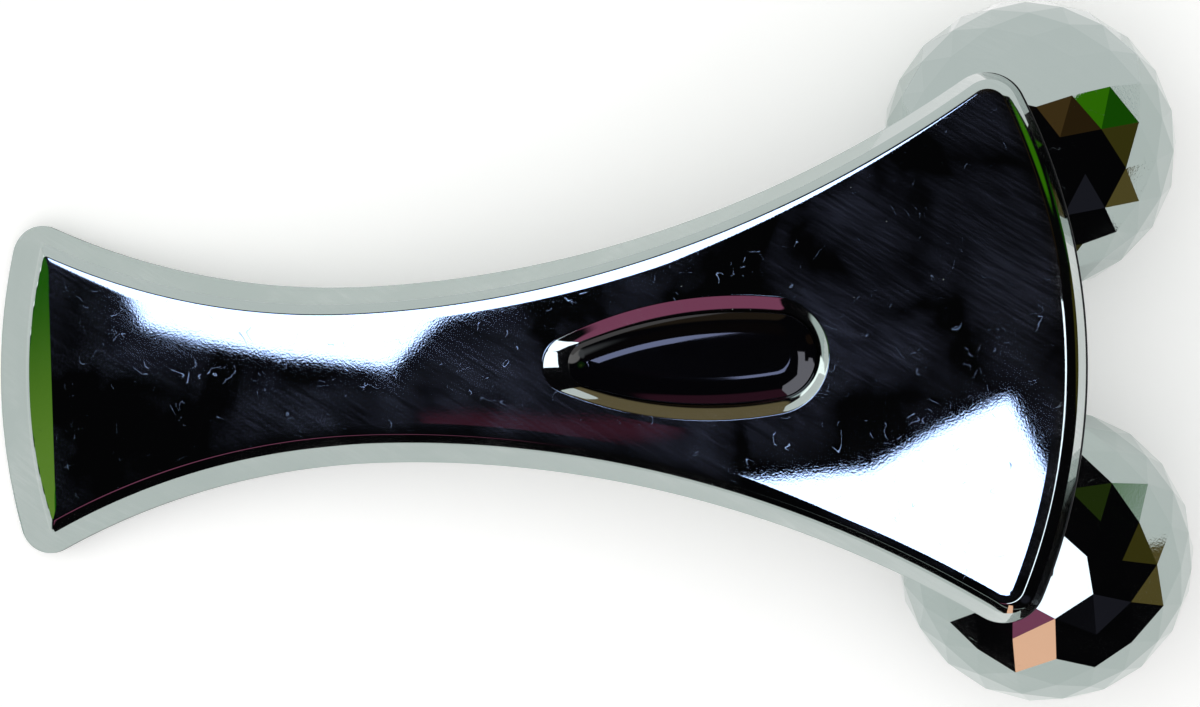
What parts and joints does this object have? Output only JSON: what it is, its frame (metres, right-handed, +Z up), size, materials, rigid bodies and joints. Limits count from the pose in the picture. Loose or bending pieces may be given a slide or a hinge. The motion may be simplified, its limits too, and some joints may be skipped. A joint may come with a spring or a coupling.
{
  "type": "roller massager",
  "caption": "Handheld body massager: flared chrome handle with a wide head, a black teardrop window, and faceted chrome balls that roll on splayed axles under the head.",
  "frame": {"origin": "on the surface it rests on, under the centre of the whole object", "axes": "+X from the handle's tail to its head, +Z up as it rests on its balls and tail, +Y to the left"},
  "size_m": [0.1613, 0.0936, 0.0506],
  "materials": {
    "shell_chrome": "mirror-bright chrome plate on moulded shells",
    "ball_chrome": "mirror-bright chrome plate on flat facets",
    "trim_chrome": "bright chrome plate",
    "window_black": "clear-coated black, high gloss",
    "seal_rubber": "black silicone",
    "cell": "dark brown light cell behind resin",
    "tape": "amber film",
    "lead_red": "red insulation on copper strands",
    "lead_black": "black insulation on copper strands",
    "lug_brass": "stamped brass",
    "block_metal": "diecast, as cast",
    "bush_nylon": "white nylon",
    "steel": "zinc-plated steel"
  },
  "bodies": {
    "handle": {"upper_shell": "shell_chrome", "lower_shell": "shell_chrome", "parting_seal": "seal_rubber", "solar_window": "window_black", "window_gasket": "seal_rubber", "solar_cell": "cell", "cell_tape": "tape", "lead_positive": "lead_red", "lead_negative": "lead_black", "block_lug": "lug_brass", "shell_lug": "lug_brass", "terminal_screw": "steel", "axle_block": "block_metal", "block_screws": "steel", "shell_screws": "steel", "screw_plugs": "trim_chrome", "axle_left": "steel", "axle_right": "steel", "grub_screw_left": "steel", "grub_screw_right": "steel", "collar_left": "trim_chrome", "collar_right": "trim_chrome", "axle_seal_left": "seal_rubber", "axle_seal_right": "seal_rubber", "washer_left": "bush_nylon", "washer_right": "bush_nylon", "clip_left": "steel", "clip_right": "steel"},
    "left_ball": {"ball_inner_left": "ball_chrome", "ball_outer_left": "ball_chrome", "bush_inner_left": "bush_nylon", "bush_outer_left": "bush_nylon"},
    "right_ball": {"ball_inner_right": "ball_chrome", "ball_outer_right": "ball_chrome", "bush_inner_right": "bush_nylon", "bush_outer_right": "bush_nylon"}
  },
  "joints": [
    {"name": "left_ball_spin", "type": "hinge", "parent": "handle", "child": "left_ball", "pos_m": [0.06086, 0.02726, 0.01975], "axis": [0.5616, 0.6259, -0.5411], "continuous": true},
    {"name": "right_ball_spin", "type": "hinge", "parent": "handle", "child": "right_ball", "pos_m": [0.06086, -0.02726, 0.01975], "axis": [0.5616, -0.6259, -0.5411], "continuous": true}
  ]
}
